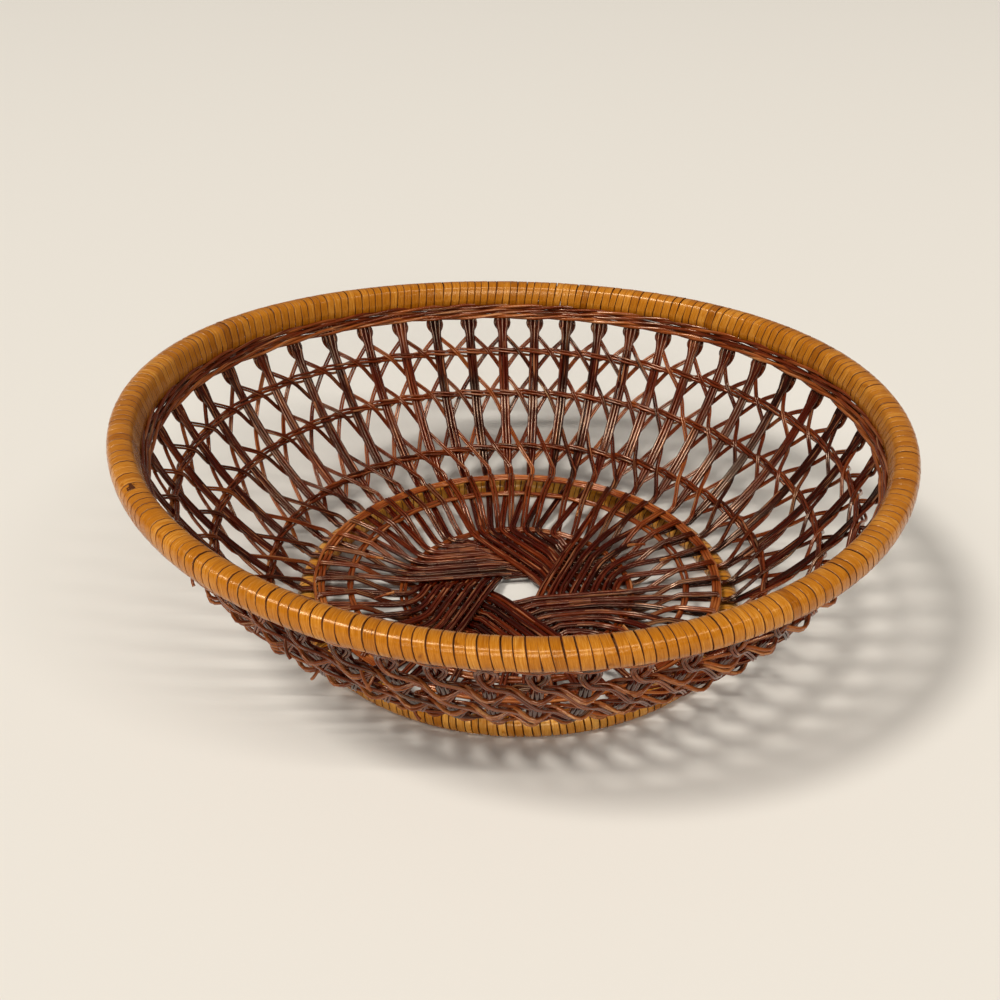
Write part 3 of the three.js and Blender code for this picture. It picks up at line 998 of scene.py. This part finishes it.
# The foot's turns get paler tones than the rim's: painted light, making up for the shade the wall
# casts on the foot
footWrap = {
    "turns": 186, "half": 5.0, "square": 2.1, "lip": 0.0, "gap": 0.22, "tilt": 0.7,
    "width": 0.12, "swell": 0.007, "slope": 0.1, "tone": (0.68, 0.9),
}
turnChange = {"stained": 0.05, "darker": 0.2, "tilt": (-0.3, 0.3), "place": 0.006}


def makeWrap(name, node, sizes, radius, height):
    shape = newShape()
    template = makeTurn()
    power = sizes["square"]
    count = len(template.vertices)
    tone = template.attributes["tone"]
    widths = [1 + chance.gauss(0, sizes["width"]) for _ in range(sizes["turns"])]
    whole = sum(widths)
    angle = 0.0
    for width in widths:
        share = width / whole * tau
        value = chance.uniform(*sizes["tone"])
        if chance.random() < turnChange["stained"]:
            value -= turnChange["darker"]
        tone.data.foreach_set("value", [value] * len(template.polygons))
        shape.from_mesh(template)
        shape.verts.ensure_lookup_table()
        swell = 1 + chance.gauss(0, sizes["swell"])
        slope = chance.gauss(0, sizes["slope"])
        tilt = sizes["tilt"] * (1 + chance.uniform(*turnChange["tilt"])) / radius
        middle = angle + share / 2 + chance.gauss(0, turnChange["place"]) * share
        for vert in shape.verts[-count:]:
            around = math.atan2(vert.co.z, vert.co.y) + turnShape["start"]
            around += turnShape["crowding"] * math.sin(4 * around)
            outward, upward = math.cos(around), math.sin(around)
            reach = sizes["half"] / (abs(outward) ** power + abs(upward) ** power) ** (1 / power)
            reach += sizes["lip"] * 2 * max(-outward, 0) * max(-upward, 0)  # fuller below inside
            reach = reach * swell + math.hypot(vert.co.y, vert.co.z) - turnShape["radius"]
            reach += slope * vert.co.x
            along = middle + vert.co.x * (share - sizes["gap"] / radius) - tilt * upward
            point = settled(roundPoint(along, radius + reach * outward, height + reach * upward))
            point.z = max(point.z, 0)
            vert.co = point * mm
        angle += share
    bpy.data.meshes.remove(template)
    bmesh.ops.recalc_face_normals(shape, faces=shape.faces)
    finishPiece(shape, name, honeyCane, [node])


makeWrap("rim_binding", "rim_wrap", rimWrap, bowl["rimRadius"], bowl["rimHeight"])
makeWrap("foot_binding", "foot_wrap", footWrap, bowl["footRadius"], bowl["footHeight"])


# Floor, light and camera
studio = {
    "floorSize": 6,
    "floorColour": (0.725, 0.67, 0.585, 1),
    "floorRoughness": 0.9,
    "floorSpecular": 0.1,
    "worldStrength": 0.15,
    "suns": (  # name, direction of the source, strength, spread in degrees
        ("key_lamp", (-0.48, -0.24, 0.88), 1.62, 12),
        ("front_fill", (0.12, -0.9, 0.42), 1.0, 18),
    ),
    "strip": {"place": (0, -3.0, 5.7), "width": 10.4, "depth": 0.24, "power": 290},
}


def makeFloor():
    shape = bmesh.new()
    bmesh.ops.create_grid(shape, x_segments=1, y_segments=1, size=studio["floorSize"])
    mesh = bpy.data.meshes.new("floor")
    shape.to_mesh(mesh)
    shape.free()
    floor = bpy.data.objects.new("floor", mesh)
    bpy.context.scene.collection.objects.link(floor)
    material = bpy.data.materials.new("pale_floor")
    material.use_nodes = True
    shader = material.node_tree.nodes["Principled BSDF"]
    shader.inputs["Base Color"].default_value = studio["floorColour"]
    shader.inputs["Roughness"].default_value = studio["floorRoughness"]
    shader.inputs["Specular IOR Level"].default_value = studio["floorSpecular"]
    mesh.materials.append(material)


def addStrip(name, place, width, depth, power):
    data = bpy.data.lights.new(name, "AREA")
    data.shape = "RECTANGLE"
    data.size, data.size_y = width, depth
    data.energy = power
    light = bpy.data.objects.new(name, data)
    bpy.context.scene.collection.objects.link(light)
    turn = Vector(place).to_track_quat("Z", "Y").to_matrix().to_4x4()
    light.matrix_world = Matrix.Translation(place) @ turn


def addSun(name, source, power, spread):
    data = bpy.data.lights.new(name, "SUN")
    data.energy = power
    data.angle = math.radians(spread)
    light = bpy.data.objects.new(name, data)
    bpy.context.scene.collection.objects.link(light)
    light.matrix_world = Vector(source).to_track_quat("Z", "Y").to_matrix().to_4x4()


def makeStudio():
    makeFloor()
    for sun in studio["suns"]:
        addSun(*sun)
    addStrip("top_strip", **studio["strip"])
    scene = bpy.context.scene
    world = bpy.data.worlds.new("studio")
    world.use_nodes = True
    scene.world = world
    shade = world.node_tree.nodes["Background"]
    shade.inputs["Color"].default_value = (1, 1, 1, 1)
    shade.inputs["Strength"].default_value = studio["worldStrength"]
    scene.view_settings.view_transform = "Standard"


view = {
    "place": (-0.0007, -0.5022, 0.3422),
    "pitch": math.radians(30.267),
    "yaw": math.radians(-0.6415),
    "roll": math.radians(0.6553),
    "lens": 47.19,
    "sensor": 36,
    "nearest": 0.01,
}


def makeCamera():
    data = bpy.data.cameras.new("camera")
    data.sensor_width = view["sensor"]
    data.lens = view["lens"]
    data.clip_start = view["nearest"]
    camera = bpy.data.objects.new("camera", data)
    bpy.context.scene.collection.objects.link(camera)
    bpy.context.scene.camera = camera
    pitch, yaw, roll = view["pitch"], view["yaw"], view["roll"]
    level = math.cos(pitch)
    ahead = Vector((math.sin(yaw) * level, math.cos(yaw) * level, -math.sin(pitch)))
    right = ahead.cross(Vector((0, 0, 1))).normalized()
    up = right.cross(ahead)
    rolledRight = math.cos(roll) * right + math.sin(roll) * up
    rolledUp = math.cos(roll) * up - math.sin(roll) * right
    turn = Matrix((rolledRight, rolledUp, -ahead)).transposed()
    camera.matrix_world = Matrix.Translation(view["place"]) @ turn.to_4x4()


makeStudio()
makeCamera()
print("studio set")
